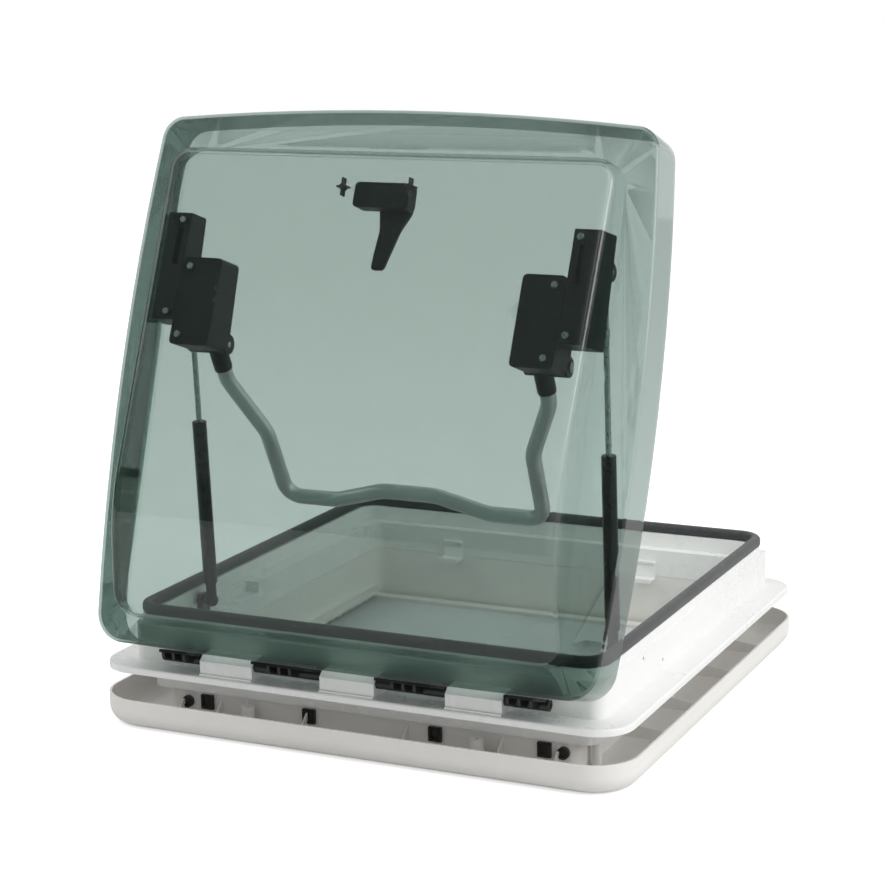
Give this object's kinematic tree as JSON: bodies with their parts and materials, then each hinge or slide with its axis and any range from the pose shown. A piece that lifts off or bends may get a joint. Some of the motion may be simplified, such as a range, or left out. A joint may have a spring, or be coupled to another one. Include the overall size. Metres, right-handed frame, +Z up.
{
  "type": "rv skylight",
  "caption": "Hinged double-skin roof skylight for a caravan or camper, with gas struts, a locking bail, and a ceiling trim with flyscreen and blind.",
  "frame": {"origin": "middle of the roof opening, on the roof's outer surface under the flange", "axes": "+X along the hinge, +Y from the hinge side to the free side, +Z up and out of the roof"},
  "size_m": [0.588, 0.6275, 0.6299],
  "materials": {
    "white_moulding": "smooth white moulded plastic",
    "trim_moulding": "satin off-white moulded plastic",
    "seal_rubber": "soft dark grey bulb seal",
    "tinted_acrylic": "clear acrylic with a grey-green tint",
    "clear_acrylic": "clear acrylic with a light grey-green tint",
    "black_plastic": "fine matt black moulded plastic",
    "steel": "bright turned steel",
    "black_steel": "smooth black paint",
    "aluminium_tube": "satin drawn tube",
    "screen_mesh": "fine blue-grey mesh",
    "blind_cloth": "off-white pleated cloth"
  },
  "bodies": {
    "frame": {"outer_frame": "white_moulding", "frame_seal": "seal_rubber", "hinge_rod": "steel", "left_strut_bracket": "black_steel", "right_strut_bracket": "black_steel", "left_bail_catch": "white_moulding", "right_bail_catch": "white_moulding", "ceiling_trim": "trim_moulding", "clamp_screws": "steel", "left_guide_rail": "trim_moulding", "right_guide_rail": "trim_moulding", "blind_cassette": "trim_moulding", "flyscreen_pleats": "screen_mesh", "blind_pleats": "blind_cloth"},
    "lid": {"hinge_knuckle_outer_left": "black_plastic", "hinge_knuckle_inner_left": "black_plastic", "hinge_knuckle_inner_right": "black_plastic", "hinge_knuckle_outer_right": "black_plastic", "dome_shell": "tinted_acrylic", "inner_pane": "clear_acrylic", "left_bail_housing": "black_plastic", "right_bail_housing": "black_plastic", "left_bail_pin": "steel", "right_bail_pin": "steel", "left_guide_housing": "black_plastic", "right_guide_housing": "black_plastic", "left_strut_pin": "steel", "right_strut_pin": "steel", "housing_screws": "steel", "latch_base": "black_plastic", "spacer_pillars": "clear_acrylic"},
    "bail": {"bail_tube": "aluminium_tube", "left_bail_socket": "black_plastic", "right_bail_socket": "black_plastic"},
    "latch": {"latch_lever": "black_plastic", "latch_spindle": "steel"},
    "left_rod": {"left_strut_rod": "steel", "left_strut_eye": "black_plastic"},
    "right_rod": {"right_strut_rod": "steel", "right_strut_eye": "black_plastic"},
    "left_cylinder": {"left_strut_cylinder": "black_steel", "left_strut_foot": "black_plastic", "left_ball_stud": "steel"},
    "right_cylinder": {"right_strut_cylinder": "black_steel", "right_strut_foot": "black_plastic", "right_ball_stud": "steel"},
    "flyscreen": {"flyscreen_bar": "trim_moulding"},
    "blind": {"blind_bar": "trim_moulding"}
  },
  "joints": [
    {"name": "lid_hinge", "type": "hinge", "parent": "frame", "child": "lid", "pos_m": [0, -0.276, 0.021], "axis": [1, 0, 0], "range_deg": [-71.37, 0], "stiffness_Nm_per_rad": 6, "springref_deg": 45.84},
    {"name": "left_strut_pivot", "type": "hinge", "parent": "lid", "child": "left_rod", "pos_m": [-0.23, -0.17688, 0.42395], "axis": [1, 0, 0], "range_deg": [-20.12, 0]},
    {"name": "left_strut_slide", "type": "slide", "parent": "left_rod", "child": "left_cylinder", "axis": [0, -0.0666, 0.9978], "range_m": [0, 0.09185]},
    {"name": "right_strut_pivot", "type": "hinge", "parent": "lid", "child": "right_rod", "pos_m": [0.23, -0.17688, 0.42395], "axis": [1, 0, 0], "range_deg": [-20.12, 0]},
    {"name": "right_strut_slide", "type": "slide", "parent": "right_rod", "child": "right_cylinder", "axis": [0, -0.0666, 0.9978], "range_m": [0, 0.09185]},
    {"name": "bail_swing", "type": "hinge", "parent": "lid", "child": "bail", "pos_m": [0, -0.2107, 0.33615], "axis": [1, 0, 0], "range_deg": [0, 122.23]},
    {"name": "latch_turn", "type": "hinge", "parent": "lid", "child": "latch", "pos_m": [0, -0.17232, 0.48256], "axis": [0, -0.9476, 0.3195], "range_deg": [0, 90]},
    {"name": "flyscreen_slide", "type": "slide", "parent": "frame", "child": "flyscreen", "axis": [0, 1, 0], "range_m": [-0.43, 0], "deforming": ["flyscreen_pleats"]},
    {"name": "blind_slide", "type": "slide", "parent": "frame", "child": "blind", "axis": [0, 1, 0], "range_m": [0, 0.43], "deforming": ["blind_pleats"]}
  ],
  "couplings": [
    {"joint": "left_strut_pivot", "follows": "lid_hinge", "ratio": 0.28124},
    {"joint": "left_strut_slide", "follows": "lid_hinge", "m_per_rad": -0.073655},
    {"joint": "right_strut_pivot", "follows": "lid_hinge", "ratio": 0.28124},
    {"joint": "right_strut_slide", "follows": "lid_hinge", "m_per_rad": -0.073655},
    {"joint": "bail_swing", "follows": "lid_hinge", "ratio": -1.7119}
  ]
}
